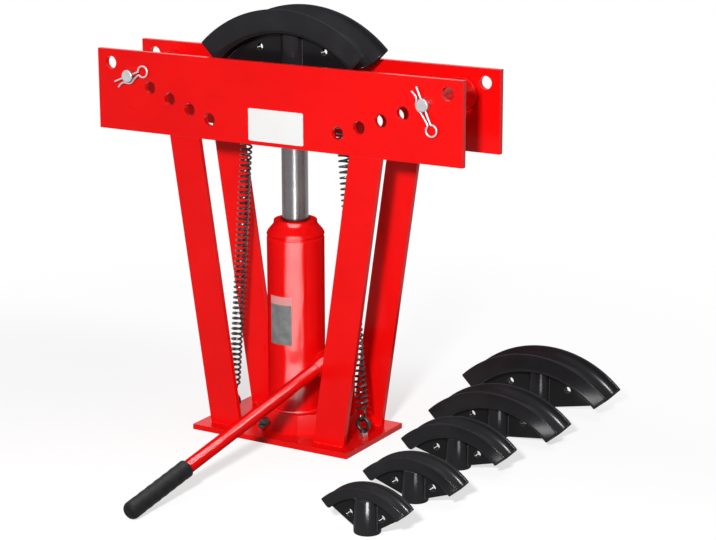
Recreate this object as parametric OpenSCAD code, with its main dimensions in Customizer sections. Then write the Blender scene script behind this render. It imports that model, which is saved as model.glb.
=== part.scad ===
// Hydraulic pipe bender: an upright frame of two side plates on four splayed legs, a long bottle
// jack between them, return springs, two rollers on pins, and a set of six bending dies.
// Millimetres, +Z up, origin at the middle of the base plate's underside, +X along the side plates,
// the operator's side at -Y.

/* [Frame] */
// Length of each side plate
plate_len = 600; // [580:5:660]
// Height of each side plate
plate_h = 117; // [112:1:130]
// Thickness of each side plate
plate_t = 8; // [6:1:10]
// Clear distance between the side plates
plate_gap = 100; // [94:1:108]
// Height of the side plates' lower edge above the floor
plate_z = 431; // [425:1:445]
// Length of the base plate
base_len = 263; // [258:1:300]
// Depth of the base plate
base_depth = 158; // [150:1:190]
// Thickness of the base plate
base_t = 8; // [6:1:10]
// Width of each leg, measured level
leg_w = 50; // [40:1:56]
// Thickness of each leg
leg_t = 8; // [6:1:8]
// Distance of a leg's middle from the centre line at its top
leg_top_x = 150; // [140:1:165]
// Distance of a leg's middle from the centre line at its foot
leg_foot_x = 88; // [84:1:96]

/* [Pin holes] */
// Holes along each half of a side plate
hole_count = 6; // [5:1:6]
// Diameter of the pin holes
hole_d = 18.6; // [18.2:0.1:19.4]
// Distance of the outermost hole from the plate's end
hole_end = 23; // [18:1:30]
// Distance from hole to hole along the plate
hole_pitch = 34.2; // [32:0.1:34.6]
// Height of the first hole above the plate's lower edge
hole_first_z = 29; // [24:1:34]
// Rise of the row from hole to hole at its inner end
hole_rise = 10.2; // [8:0.1:11]

/* [Rollers] */
// Diameter of the roller pins
pin_d = 18; // [16:0.1:18]
// Largest diameter of a roller
roller_d = 46; // [40:1:50]
// Depth of a roller's waist
roller_waist = 4; // [1:0.5:6]
// Wire diameter of the hairpin clips
clip_d = 3; // [2.4:0.1:3.2]

/* [Jack] */
// Outer diameter of the oil reservoir
tank_d = 83; // [82:1:90]
// Wall of the oil reservoir
tank_wall = 4; // [3:0.5:6]
// Height of the reservoir's top edge above the floor
tank_top = 292; // [288:1:294]
// Height of the domed head above the reservoir
head_h = 25; // [22:1:26]
// Bore of the pressure cylinder
bore_d = 46; // [44:1:48]
// Wall of the pressure cylinder
bore_wall = 5; // [4:0.5:7]
// Diameter of the ram
ram_d = 38; // [34:1:40]
// Diameter of the pump plunger
plunger_d = 14; // [10:1:15]

/* [Springs] */
// Mean radius of the return springs
spring_r = 7.5; // [7:0.1:8]
// Wire diameter of the return springs
spring_wire = 3; // [2.4:0.1:3]
// Curls in each return spring
spring_turns = 52; // [44:1:54]
// Distance of the spring hooks on the crossbar from the centre line
hook_x = 77; // [72:1:80]
// Distance of the eye bolts from the base plate's ends
anchor_in = 19.5; // [16:0.5:21]

/* [Handle] */
// Diameter of the handle tube
tube_d = 19; // [17:0.5:20]
// Length of the handle from the pump to its end
handle_len = 440; // [420:1:450]
// Diameter of the rubber grip
grip_d = 25; // [23:0.5:26]
// Length of the rubber grip
grip_len = 116; // [90:1:150]

/* [Dies] */
// Diameter of the boss under each die
boss_d = 36; // [34:1:42]
// Diameter of the ram's pilot in the dies' sockets
pilot_d = 24; // [20:1:25]
// Metal under the groove of a die
rim_floor = 5; // [4:0.5:7]
// Metal beside the groove of a die
rim_wall = 4.5; // [3.5:0.5:6]
// Thickness of the web of a die
web_t = 10; // [8:0.5:14]
// Half of the angle that a die's groove spans
die_half = 45; // [42:1:46]

/* [Hidden] */
$fn = 64;

// Clearances
run_gap = 0.05;    // radial, a turning or sliding fit
loose_gap = 0.1;   // radial, pieces that are fixed together
free_gap = 0.3;    // pieces that pass each other

// Frame
out_y = plate_gap / 2 + plate_t;
plate_top = plate_z + plate_h;
hole_curve = 0.7;
pin_slot = hole_count - 2;      // the hole that carries the roller, counted from 0
function hole_x(i) = plate_len / 2 - hole_end - (hole_count - 1 - i) * hole_pitch;
function hole_z(i) = plate_z + hole_first_z + i * hole_rise + i * i * hole_curve;
pin_x = hole_x(pin_slot);
pin_z = hole_z(pin_slot);

// Jack
jack_top_z = tank_top + head_h;
cast_top = 38;                      // top of the jack's base casting
cast_x = 52;
cast_y = 48;
cast_diag = 56;                     // half width across the casting's cut corners
spigot_h = 12;                      // the head's spigot inside the reservoir
cyl_foot = cast_top - 4;            // the cylinder stands in a recess
cyl_top = tank_top - spigot_h;
cyl_d = bore_d + 2 * bore_wall;
wiper_d = ram_d + 5.6;
wiper_h = 6;
wiper_sunk = 2;                     // depth of the wiper below the head's top
screw_at = [[-34, -30], [34, -30], [-34, 30], [34, 30]];
screw_d = 10;
screw_len = 23.5;
valve_at = [-22, 22];               // x and z of the release valve
valve_d = 10;
knob_d = valve_d + 4;
plug_d = 11.6;
plug_z = 236;

// Ram and what it carries, at the height shown: a retracted ram is ram_down lower
seat_z = plate_z + 94;              // the dies' seat
bar_z = seat_z - 54;                // underside of the crossbar's hub
hub_h = 26;
ram_down = bar_z - jack_top_z - 4;
piston_h = 14;
piston_z = cyl_foot + 3 + ram_down;
neck_d = ram_d - 8;
pilot_h = 28;
seal_h = 6;
bar_t = 6;
hook_hole = 9;
hook_z = bar_z + 10.5;

// Pump and lever: an own frame at the plunger, turned so that the handle clears the right leg
pump_x = 67;
pump_y = -5;
lever_turn = -7.75;
pump_floor = 34;                    // top of the casting under the pump
barrel_d = 30;
barrel_top = 74;
gland_h = 10;
gland_d = barrel_d + 6;             // across the gland's corners
arm = 28;                           // level distance from fulcrum to plunger
half_swing = 20;
fulcrum_z = 114;
lever_pin_z = fulcrum_z - arm * tan(half_swing);
fulcrum_d = 10;
wrist_d = 8;
cheek_in = 8;
cheek_t = 5;
cheek_out = cheek_in + cheek_t;
cheek_top = 133;
post_w = 20;
post_t = 2 * (cheek_in - 0.5);
drop = 14.9;                        // slope of the handle below level, grip on the floor
handle_z = 124.8;                   // the handle's axis over the plunger
socket_d = tube_d + 4;
socket_from = 16;
socket_to = 46;
tube_from = 22;
tube_bore = tube_d - 5;
ball_d = 7.4;                       // the check balls in the oil ways
way_floor = 15;
valve_seats = [[0, 0], [pump_x, pump_y]];

// Eye bolts and springs
eye_r = 9;
eye_wire = 3;
eye_z = 26;
bolt_d = 8;
nut_h = 5.8;
nut_d = 15;                         // across the nuts' corners
anchor_x = max(base_len / 2 - anchor_in, pump_x + 38);
loop_r = 6.5;

// Dies: pipe diameter, outer rim radius, height over the boss's foot, height of the web at the boss
dn15 = [21.3, 86, 63, 6];
dn20 = [26.9, 102, 63, 6];
dn25 = [33.7, 115, 67, 6];
dn32 = [42.4, 148, 70, 1];
dn40 = [48.3, 170, 86, 0.5];
dn50 = [60.3, 190, 95, 0.5];
at_dn40 = [259, 279];               // where the loose dies stand
at_dn32 = [267.5, 125];
at_dn25 = [281, -25.5];
at_dn20 = [292.5, -169];
at_dn15 = [295.5, -300];
groove_slack = 0.35;
socket_gap = 0.2;
hole_in_web = 10;
edge = 1.2;                         // chamfers

// A cylinder along Y
module rod_y(d, x, z, y0, y1) {
  translate([x, y0, z]) rotate([-90, 0, 0]) cylinder(d = d, h = y1 - y0);
}

// A flat outline in X and Z, thick from y0 to y1
module slab_y(points, y0, y1) {
  translate([0, y1, 0]) rotate([90, 0, 0]) linear_extrude(y1 - y0) polygon(points);
}

// A ring with its foot at z0
module ring(d_out, d_in, z0, h) {
  translate([0, 0, z0]) difference() {
    cylinder(d = d_out, h = h);
    translate([0, 0, -1]) cylinder(d = d_in, h = h + 2);
  }
}

module pump_frame() {
  translate([pump_x, pump_y, 0]) rotate([0, 0, lever_turn]) children();
}

// Along the handle: local +Z runs down the handle from over the plunger
module handle_frame() {
  pump_frame() translate([0, 0, handle_z]) rotate([90 + drop, 0, 0]) children();
}

// A cylinder along the lever's pins
module lever_rod(d, v, w, u0, u1) {
  translate([u0, v, w]) rotate([0, 90, 0]) cylinder(d = d, h = u1 - u0);
}

// Tube through a list of points
function unit(v) = v / norm(v);
function tangent(p, i) = unit(p[min(i + 1, len(p) - 1)] - p[max(i - 1, 0)]);
function level(n, t) = unit(n - (n * t) * t);
function normals(p, n0) = [
  for (i = 0, n = level(n0, tangent(p, 0)); i < len(p); n = level(n, tangent(p, i + 1)), i = i + 1) n
];

module wire(p, d, sides, n0) {
  n = normals(p, n0);
  last = (len(p) - 1) * sides;
  points = [
    for (i = [0 : len(p) - 1])
      let (t = tangent(p, i), b = cross(t, n[i]))
        for (k = [0 : sides - 1])
          p[i] + d / 2 * (cos(360 * k / sides) * n[i] + sin(360 * k / sides) * b)
  ];
  walls = [
    for (i = [0 : len(p) - 2], k = [0 : sides - 1])
      let (a = i * sides + k, b = i * sides + (k + 1) % sides)
        each [[a, a + sides, b + sides], [a, b + sides, b]]
  ];
  ends = [for (k = [1 : sides - 2]) each [[0, k, k + 1], [last, last + k + 1, last + k]]];
  polyhedron(points = points, faces = concat(walls, ends));
}

// Least gap of a tube to itself, over points at least skip places apart
function self_gap(p, d, skip) = min([
  for (i = [0 : len(p) - 1 - skip])
    min([for (j = [i + skip : len(p) - 1]) norm(p[i] - p[j])])
]) - d;

module base_plate() {
  color("red") difference() {
    translate([-base_len / 2, -base_depth / 2, 0]) cube([base_len, base_depth, base_t]);
    for (s = [-1, 1]) translate([s * anchor_x, 0, -1]) cylinder(d = bolt_d + 2 * loose_gap, h = base_t + 2);
    for (a = screw_at) translate([a.x, a.y, 0]) {
      translate([0, 0, -1]) cylinder(d = screw_d + 0.6, h = base_t + 2);
      translate([0, 0, -0.1]) cylinder(d1 = 2 * screw_d + 0.8, d2 = screw_d + 0.6, h = 5.2);
    }
  }
}

module side_plate(y0) {
  color("red") difference() {
    translate([-plate_len / 2, y0, plate_z]) cube([plate_len, plate_t, plate_h]);
    for (s = [-1, 1], i = [0 : hole_count - 1])
      rod_y(hole_d, s * hole_x(i), hole_z(i), y0 - 1, y0 + plate_t + 1);
  }
}

module front_plate() { side_plate(-out_y); }
module rear_plate() { side_plate(plate_gap / 2); }

module leg(s, y0) {
  color("red") slab_y([
    [s * leg_foot_x - leg_w / 2, base_t], [s * leg_foot_x + leg_w / 2, base_t],
    [s * leg_top_x + leg_w / 2, plate_z], [s * leg_top_x - leg_w / 2, plate_z]
  ], y0, y0 + leg_t);
}

module front_left_leg() { leg(-1, -out_y); }
module front_right_leg() { leg(1, -out_y); }
module rear_left_leg() { leg(-1, out_y - leg_t); }
module rear_right_leg() { leg(1, out_y - leg_t); }

module spring_eye_bolts() {
  color("silver") for (s = [-1, 1]) translate([s * anchor_x, 0, 0]) {
    translate([0, 0, 0.5]) cylinder(d = bolt_d, h = eye_z - eye_r);
    translate([0, 0, eye_z]) rotate([90, 0, 0]) rotate_extrude() translate([eye_r, 0]) circle(r = eye_wire);
  }
}

module eye_bolt_nuts() {
  color("silver") for (s = [-1, 1]) translate([s * anchor_x, 0, base_t]) difference() {
    cylinder(d = nut_d, h = nut_h, $fn = 6);
    translate([0, 0, -1]) cylinder(d = bolt_d + 2 * loose_gap, h = nut_h + 2);
  }
}

module jack_base() {
  color("red") difference() {
    union() {
      intersection() {
        translate([-cast_x, -cast_y, base_t]) cube([2 * cast_x, 2 * cast_y, cast_top - base_t]);
        rotate([0, 0, 45]) translate([-cast_diag, -cast_diag, base_t - 1])
          cube([2 * cast_diag, 2 * cast_diag, cast_top]);
      }
      translate([20, pump_y - 25, base_t]) cube([pump_x + 3, 68, pump_floor - base_t]);
    }
    translate([0, 0, cyl_foot]) cylinder(d = cyl_d + 2 * loose_gap, h = 10);
    for (a = screw_at) translate([a.x, a.y, base_t - 1])
      cylinder(d = screw_d + 2 * loose_gap, h = 19);
    rod_y(valve_d + 2 * run_gap, valve_at.x, valve_at.y, -cast_y - 1, -24);
    pump_frame() {
      translate([0, 0, pump_floor - 6]) cylinder(d = barrel_d - 6 + 2 * loose_gap, h = 10);
      translate([-post_t / 2 - loose_gap, arm - post_w / 2 - loose_gap, pump_floor - 8])
        cube([post_t + 2 * loose_gap, post_w + 2 * loose_gap, 10]);
    }
    // Drilled oil way from the pump to the cylinder
    for (a = valve_seats) translate([a.x, a.y, way_floor])
      cylinder(d = ball_d + 2 * free_gap, h = cast_top);
    translate([0, 0, way_floor + 5]) rotate([0, 0, atan2(pump_y, pump_x)]) rotate([0, 90, 0])
      cylinder(d = 5, h = norm([pump_x, pump_y]));
  }
}

module check_balls() {
  color("silver") for (a = valve_seats) translate([a.x, a.y, way_floor + ball_d / 2]) sphere(d = ball_d);
}

module jack_screws() {
  color("dimgray") for (a = screw_at) translate([a.x, a.y, 0]) rotate_extrude() polygon([
    [0, 0.5], [screw_d - 0.4, 0.5], [screw_d / 2, 5.2], [screw_d / 2, 0.5 + screw_len], [0, 0.5 + screw_len]
  ]);
}

module jack_cylinder() {
  color("gray") ring(cyl_d, bore_d, cyl_foot, cyl_top - cyl_foot);
}

module jack_reservoir() {
  color("red") difference() {
    rotate_extrude() polygon([
      [tank_d / 2 - tank_wall, cast_top], [tank_d / 2, cast_top], [tank_d / 2, tank_top - edge],
      [tank_d / 2 - edge, tank_top], [tank_d / 2 - tank_wall, tank_top]
    ]);
    rod_y(plug_d + 2 * loose_gap, 0, plug_z, 10, tank_d);
  }
}

module jack_head() {
  r = tank_d / 2;
  color("red") difference() {
    rotate_extrude() polygon([
      [0, cyl_top], [r - tank_wall - loose_gap, cyl_top], [r - tank_wall - loose_gap, tank_top],
      [r - edge, tank_top], [r - edge, tank_top + 2], [r, tank_top + 2 + edge],
      [r, tank_top + 5], [r - 1.6, tank_top + 8.5], [r - 8.6, jack_top_z - 8],
      [r - 10, jack_top_z - 6], [r - 10.2, jack_top_z - edge],
      [r - 10.2 - edge, jack_top_z], [0, jack_top_z]
    ]);
    translate([0, 0, cyl_top - 1]) cylinder(d = ram_d + 2 * run_gap, h = 60);
    translate([0, 0, jack_top_z - wiper_h - wiper_sunk]) cylinder(d = wiper_d + 2 * loose_gap, h = 20);
  }
}

module ram_wiper() {
  color("black") ring(wiper_d, ram_d + 2 * run_gap, jack_top_z - wiper_h - wiper_sunk, wiper_h);
}

module oil_filler_plug() {
  color("black") difference() {
    union() {
      rod_y(plug_d, 0, plug_z, tank_d / 2 - tank_wall - 4, tank_d / 2 + 1);
      rod_y(plug_d + 5, 0, plug_z, tank_d / 2 - 2, tank_d / 2 + 4);
    }
    difference() {
      translate([0, 0, plug_z - 20]) cylinder(d = tank_d + 2 * loose_gap, h = 40);
      rod_y(plug_d, 0, plug_z, 0, tank_d);
    }
  }
}

module pump_barrel() {
  color("gray") pump_frame() difference() {
    union() {
      translate([0, 0, pump_floor - 6]) cylinder(d = barrel_d - 6, h = 8);
      translate([0, 0, pump_floor]) cylinder(d = barrel_d, h = barrel_top - pump_floor);
    }
    translate([0, 0, pump_floor + 4]) cylinder(d = plunger_d + 2 * run_gap, h = 60);
    translate([0, 0, pump_floor - 8]) cylinder(d = 6, h = 20);
    translate([0, 0, barrel_top - 4]) cylinder(d = plunger_d + 8, h = 10);
  }
}

module pump_gland() {
  color("silver") pump_frame() difference() {
    translate([0, 0, barrel_top]) rotate([0, 0, 30]) cylinder(d = gland_d, h = gland_h, $fn = 6);
    translate([0, 0, barrel_top - 1]) cylinder(d = plunger_d + 2 * run_gap, h = gland_h + 2);
  }
}

module pump_seal() {
  color("black") pump_frame()
    ring(plunger_d + 8 - 2 * loose_gap, plunger_d + 2 * run_gap, barrel_top - 4, 4);
}

module fulcrum_post() {
  color("red") pump_frame() difference() {
    union() {
      translate([-post_t / 2, arm - post_w / 2, pump_floor - 8])
        cube([post_t, post_w, fulcrum_z - pump_floor + 8]);
      lever_rod(post_w, arm, fulcrum_z, -post_t / 2, post_t / 2);
    }
    lever_rod(fulcrum_d + 2 * run_gap, arm, fulcrum_z, -post_t, post_t);
  }
}

module release_valve() {
  color("dimgray") difference() {
    union() {
      rod_y(valve_d, valve_at.x, valve_at.y, -cast_y - 4, -26);
      rod_y(knob_d, valve_at.x, valve_at.y, -cast_y - 16, -cast_y - 2);
    }
    translate([valve_at.x - 10, -cast_y - 17, valve_at.y - 2]) cube([20, 8, 4]);
  }
}

module ram() {
  color("silver") rotate_extrude() polygon([
    [0, piston_z], [12, piston_z], [12, piston_z + piston_h], [ram_d / 2, piston_z + piston_h],
    [ram_d / 2, bar_z], [neck_d / 2, bar_z], [neck_d / 2, seat_z], [pilot_d / 2, seat_z],
    [pilot_d / 2, seat_z + pilot_h - 2], [pilot_d / 2 - 2, seat_z + pilot_h], [0, seat_z + pilot_h]
  ]);
}

module ram_piston() {
  color("gray") difference() {
    ring(bore_d - 2 * run_gap, 24 + 2 * loose_gap, piston_z, piston_h);
    difference() {
      translate([0, 0, piston_z + 4]) cylinder(d = bore_d + 2, h = seal_h);
      translate([0, 0, piston_z]) cylinder(d = bore_d - 8, h = piston_h);
    }
  }
}

module piston_seal() {
  color("black") ring(bore_d - 2 * run_gap, bore_d - 8 + 2 * loose_gap, piston_z + 4, seal_h);
}

module spring_crossbar() {
  end = hook_x + 14;
  color("red") difference() {
    union() {
      translate([0, 0, bar_z]) cylinder(d = ram_d + 18, h = hub_h);
      translate([-end, -bar_t / 2, bar_z + 1]) cube([2 * end, bar_t, hub_h - 2]);
    }
    translate([0, 0, bar_z - 1]) cylinder(d = neck_d + 2 * loose_gap, h = hub_h + 2);
    for (s = [-1, 1]) rod_y(hook_hole, s * hook_x, hook_z, -bar_t, bar_t);
  }
}

module ram_head_nut() {
  color("silver") difference() {
    translate([0, 0, bar_z + hub_h]) cylinder(d = boss_d + 8, h = seat_z - bar_z - hub_h);
    translate([0, 0, bar_z]) cylinder(d = neck_d + 2 * loose_gap, h = 60);
    for (s = [-1, 1]) translate([s * (boss_d / 2 + 12) - 10, -30, bar_z + hub_h + 8]) cube([20, 60, 12]);
  }
}

// The middle of a spring's wire: hook through the eye bolt, curls, hook through the crossbar
function spring_path(s) =
  let (
    low = [s * anchor_x, 0, eye_z + eye_r - eye_wire - spring_wire / 2 - free_gap],
    high = [s * hook_x, 0, hook_z - hook_hole / 2 + spring_wire / 2 + 1],
    ez = unit(high - low),
    ex = cross([0, 1, 0], ez),
    from = low + loop_r * ez,
    span = norm(high - low) - 2 * loop_r,
    lead = loop_r / 2 + 7,
    step = (span - 2 * lead) / (8 * spring_turns),
    local = concat(
      [for (a = [-50 : -25 : -300]) [0, loop_r * sin(a), loop_r * cos(a)]],
      [for (k = [0 : 8 * spring_turns])
        [spring_r * cos(90 + 45 * k), spring_r * sin(90 + 45 * k), lead + k * step]],
      [for (a = [60 : 25 : 310]) [0, loop_r * sin(a), span - loop_r * cos(a)]]
    )
  )
  [for (q = local) from + q.x * ex + [0, q.y, 0] + q.z * ez];

module return_spring(s) {
  p = spring_path(s);
  echo(str("least gap of a return spring to itself, mm: ", self_gap(p, spring_wire, 3)));
  color("dimgray") wire(p, spring_wire, 6, [0, 0.2, 1]);
}

module left_return_spring() { return_spring(-1); }
module right_return_spring() { return_spring(1); }

// Roller pins: head at the rear, a cross hole for the clip at the front
clip_y = -out_y - 5;
pin_front = -out_y - 10;
clip_tilt = [22, -66];              // how far each clip's loop is turned up from level
clip_reach = [27, 36];              // distance of each clip's loop from the pin's middle

module roller_pin(s, tilt) {
  color("silver") difference() {
    union() {
      rod_y(pin_d, s * pin_x, pin_z, pin_front + edge, out_y + 1);
      translate([s * pin_x, pin_front, pin_z]) rotate([-90, 0, 0])
        cylinder(d1 = pin_d - 2 * edge, d2 = pin_d, h = edge);
      rod_y(pin_d + 10, s * pin_x, pin_z, out_y + free_gap, out_y + free_gap + 6);
    }
    translate([s * pin_x, clip_y, pin_z]) rotate([0, 90 - tilt, 0]) translate([0, 0, -pin_d])
      cylinder(d = clip_d + 0.6, h = 2 * pin_d);
  }
}

module left_roller_pin() { roller_pin(-1, clip_tilt[0]); }
module right_roller_pin() { roller_pin(1, clip_tilt[1]); }

module roller(s) {
  half = plate_gap / 2 - 2;
  waist_r = (half * half + roller_waist * roller_waist) / (2 * roller_waist);
  color("dimgray") translate([s * pin_x, 0, pin_z]) rotate([90, 0, 0]) difference() {
    translate([0, 0, -half]) cylinder(d = roller_d, h = 2 * half);
    translate([0, 0, -half - 1]) cylinder(d = pin_d + 2 * run_gap, h = 2 * half + 2);
    rotate_extrude() intersection() {
      translate([roller_d / 2 - roller_waist + waist_r, 0]) circle(r = waist_r, $fn = 128);
      translate([roller_d / 2 - roller_waist - 1, -half + 6]) square([20, 2 * half - 12]);
    }
  }
}

module left_roller() { roller(-1); }
module right_roller() { roller(1); }

// Hairpin clip: a straight leg through the pin, a loop, and a bent leg round the pin's side
function clip_path(reach) =
  let (r = pin_d / 2 + clip_d / 2 + free_gap, loop = 8, mid = clip_d * 0.78)
  concat(
    [[-26, 0], [-12, 0], [0, 0], [12, 0], [reach - 11, 0]],
    [for (a = [200 : 20 : 520]) [reach + loop * cos(a), mid + loop * sin(a)]],
    [[reach - 10.5, 2 * mid]],
    [for (a = [46 : 14 : 130]) [r * cos(a), r * sin(a)]],
    [[-11.5, 6.2], [-17, 6.6], [-23, 9.5]]
  );

module pin_clip(s, tilt, reach) {
  p = [for (q = clip_path(reach)) [q.x, 0, -q.y]];
  echo(str("least gap of a hairpin clip to itself, mm: ", self_gap(p, clip_d, 6)));
  color("silver") translate([s * pin_x, clip_y, pin_z]) rotate([0, -tilt, 0]) wire(p, clip_d, 8, [0, 1, 0]);
}

module left_pin_clip() { pin_clip(-1, clip_tilt[0], clip_reach[0]); }
module right_pin_clip() { pin_clip(1, clip_tilt[1], clip_reach[1]); }

// The lever: two cheeks on the fulcrum, slotted for the plunger's pin, and the handle's socket
module handle_socket() {
  color("red") difference() {
    union() {
      handle_frame() translate([0, 0, socket_from]) cylinder(d = socket_d, h = socket_to - socket_from);
      for (s = [-1, 1]) pump_frame() {
        u0 = s > 0 ? cheek_in : -cheek_out;
        translate([u0, 0, 0]) rotate([90, 0, 90]) linear_extrude(cheek_t) polygon([
          [arm + 8, fulcrum_z - 8], [arm + 8, fulcrum_z + 8], [2, cheek_top], [-22, cheek_top - 2],
          [-34, handle_z - 3], [-30, lever_pin_z], [-12, lever_pin_z - 11], [8, lever_pin_z - 11]
        ]);
        lever_rod(22, arm, fulcrum_z, u0, u0 + cheek_t);
      }
    }
    handle_frame() translate([0, 0, tube_from]) cylinder(d = tube_d + 4 * loose_gap, h = 90);
    pump_frame() {
      lever_rod(fulcrum_d + 2 * loose_gap, arm, fulcrum_z, -30, 30);
      translate([0, arm, fulcrum_z]) rotate([half_swing, 0, 0])
        for (s = [-1, 1]) translate([s * (cheek_in + cheek_t / 2), 0, 0]) {
          slot_w = wrist_d + 0.8;
          near = arm - 0.6;
          far = arm / cos(half_swing) + 0.6;
          translate([-5, -far, -slot_w / 2]) cube([10, far - near, slot_w]);
          for (v = [near, far]) lever_rod(slot_w, -v, 0, -5, 5);
        }
    }
  }
}

module riveted_pin(d, v, w) {
  lever_rod(d, v, w, -cheek_out - 1, cheek_out + 1);
  for (s = [-1, 1])
    lever_rod(d + 5, v, w, s > 0 ? cheek_out + free_gap : -cheek_out - free_gap - 3,
      s > 0 ? cheek_out + free_gap + 3 : -cheek_out - free_gap);
}

module fulcrum_pin() {
  color("silver") pump_frame() riveted_pin(fulcrum_d, arm, fulcrum_z);
}

module plunger_pin() {
  color("silver") pump_frame() riveted_pin(wrist_d, 0, lever_pin_z);
}

module pump_plunger() {
  color("silver") pump_frame() difference() {
    union() {
      translate([0, 0, pump_floor + 6]) cylinder(d = plunger_d, h = lever_pin_z - pump_floor - 6);
      lever_rod(20, 0, lever_pin_z, -post_t / 2, post_t / 2);
    }
    lever_rod(wrist_d + 2 * loose_gap, 0, lever_pin_z, -20, 20);
  }
}

module handle_tube() {
  color("red") handle_frame() difference() {
    translate([0, 0, tube_from]) cylinder(d = tube_d, h = handle_len - 10 - tube_from);
    translate([0, 0, tube_from - 1]) cylinder(d = tube_bore, h = handle_len);
  }
}

module handle_grip() {
  color("black") handle_frame() difference() {
    rotate_extrude() {
      round_r = grip_d / 3;
      translate([0, handle_len - grip_len]) square([grip_d / 2, grip_len - round_r]);
      translate([0, handle_len - 2 * round_r]) square([grip_d / 2 - round_r, 2 * round_r]);
      intersection() {
        translate([grip_d / 2 - round_r, handle_len - round_r]) circle(r = round_r);
        translate([0, handle_len - 2 * round_r]) square([grip_d, 2 * round_r]);
      }
    }
    translate([0, 0, handle_len - grip_len - 1])
      cylinder(d = tube_d + 2 * loose_gap, h = grip_len - 10 + 1);
  }
}

// A bending die on its boss: grooved rim, web with two holes, socket for the ram's pilot
module die(size) {
  pipe = size[0];
  ro = size[1];
  h = size[2];
  zc = h - ro;
  rim = pipe / 2 + rim_floor;
  ease = rim / 4;
  w = pipe + 2 * rim_wall;
  ri = ro - rim;
  tip = [ri * sin(die_half), zc + ri * cos(die_half)];
  hole = [0.28 * ro, 0.38 * h];
  color("black") difference() {
    union() {
      translate([0, 0, zc]) rotate([90, 0, 0]) rotate([0, 0, 90 - die_half])
        rotate_extrude(angle = 2 * die_half) polygon([
          [ri + ease, -w / 2], [ro - edge, -w / 2], [ro, -w / 2 + edge], [ro, w / 2 - edge],
          [ro - edge, w / 2], [ri + ease, w / 2], [ri + ease / 4, w / 2 - ease / 4], [ri, w / 2 - ease],
          [ri, -w / 2 + ease], [ri + ease / 4, -w / 2 + ease / 4]
        ]);
      intersection() {
        rod_y(2 * (ri + 2), 0, zc, -web_t / 2, web_t / 2);
        slab_y([[-boss_d / 2 + 2, size[3]], [boss_d / 2 - 2, size[3]], tip, [tip.x, h], [-tip.x, h],
          [-tip.x, tip.y]], -web_t / 2, web_t / 2);
      }
      rotate_extrude() polygon([
        [0, 0], [boss_d / 2 - edge, 0], [boss_d / 2, edge], [boss_d / 2, h - rim + 1], [0, h - rim + 1]
      ]);
    }
    translate([0, 0, zc]) rotate([90, 0, 0]) rotate_extrude() translate([ro, 0])
      circle(d = pipe + 2 * groove_slack);
    translate([0, 0, -1]) cylinder(d = pilot_d + 2 * socket_gap, h = pilot_h + 2);
    for (s = [-1, 1]) rod_y(hole_in_web, s * hole.x, hole.y, -web_t, web_t);
  }
}

module die_dn50() { translate([0, 0, seat_z]) die(dn50); }
module die_dn40() { translate(at_dn40) die(dn40); }
module die_dn32() { translate(at_dn32) die(dn32); }
module die_dn25() { translate(at_dn25) die(dn25); }
module die_dn20() { translate(at_dn20) die(dn20); }
module die_dn15() { translate(at_dn15) die(dn15); }

base_plate();
front_plate();
rear_plate();
front_left_leg();
front_right_leg();
rear_left_leg();
rear_right_leg();
spring_eye_bolts();
eye_bolt_nuts();
jack_base();
check_balls();
jack_screws();
jack_cylinder();
jack_reservoir();
jack_head();
ram_wiper();
oil_filler_plug();
pump_barrel();
pump_gland();
pump_seal();
fulcrum_post();
release_valve();
ram();
ram_piston();
piston_seal();
spring_crossbar();
ram_head_nut();
left_return_spring();
right_return_spring();
left_roller_pin();
right_roller_pin();
left_roller();
right_roller();
left_pin_clip();
right_pin_clip();
handle_socket();
fulcrum_pin();
handle_tube();
handle_grip();
pump_plunger();
plunger_pin();
die_dn50();
die_dn40();
die_dn32();
die_dn25();
die_dn20();
die_dn15();
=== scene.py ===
"""Dresses the pipe bender: paint, steel, springs, clips, dies, labels, welds, and a plain studio."""

import functools
import math

import bmesh
import bpy
from mathutils import Matrix, Vector


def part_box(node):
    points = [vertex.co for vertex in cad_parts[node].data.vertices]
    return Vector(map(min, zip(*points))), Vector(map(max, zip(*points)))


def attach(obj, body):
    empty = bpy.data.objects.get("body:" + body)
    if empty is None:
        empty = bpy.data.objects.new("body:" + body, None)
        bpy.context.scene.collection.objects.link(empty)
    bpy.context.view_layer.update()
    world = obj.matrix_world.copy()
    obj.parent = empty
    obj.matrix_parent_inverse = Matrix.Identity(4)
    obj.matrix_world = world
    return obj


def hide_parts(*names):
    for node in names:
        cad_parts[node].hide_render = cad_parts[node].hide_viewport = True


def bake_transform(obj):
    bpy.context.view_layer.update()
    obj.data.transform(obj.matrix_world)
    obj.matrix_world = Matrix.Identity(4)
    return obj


bl_info = {
    "name": "Pipe bender finish",
    "version": (1, 0, 0),
    "blender": (4, 5, 0),
    "location": "3D View > Sidebar > Bender",
    "description": "Paint, steel, springs, clips, dies, labels and welds for a hydraulic pipe bender",
    "category": "Object",
}

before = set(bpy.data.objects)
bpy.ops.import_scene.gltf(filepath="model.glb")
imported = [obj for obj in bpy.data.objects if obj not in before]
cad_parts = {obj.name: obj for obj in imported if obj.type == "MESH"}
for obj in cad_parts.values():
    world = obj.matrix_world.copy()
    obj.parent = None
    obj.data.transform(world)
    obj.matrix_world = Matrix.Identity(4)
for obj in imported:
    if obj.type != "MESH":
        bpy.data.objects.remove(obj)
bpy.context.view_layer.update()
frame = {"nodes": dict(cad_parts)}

MM = 0.001
TURN = 2 * math.pi
MERGED = 1e-6  # metres within which two vertices are one
FINE, COARSE = 96, 48  # steps round a large and a small turned piece

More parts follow.
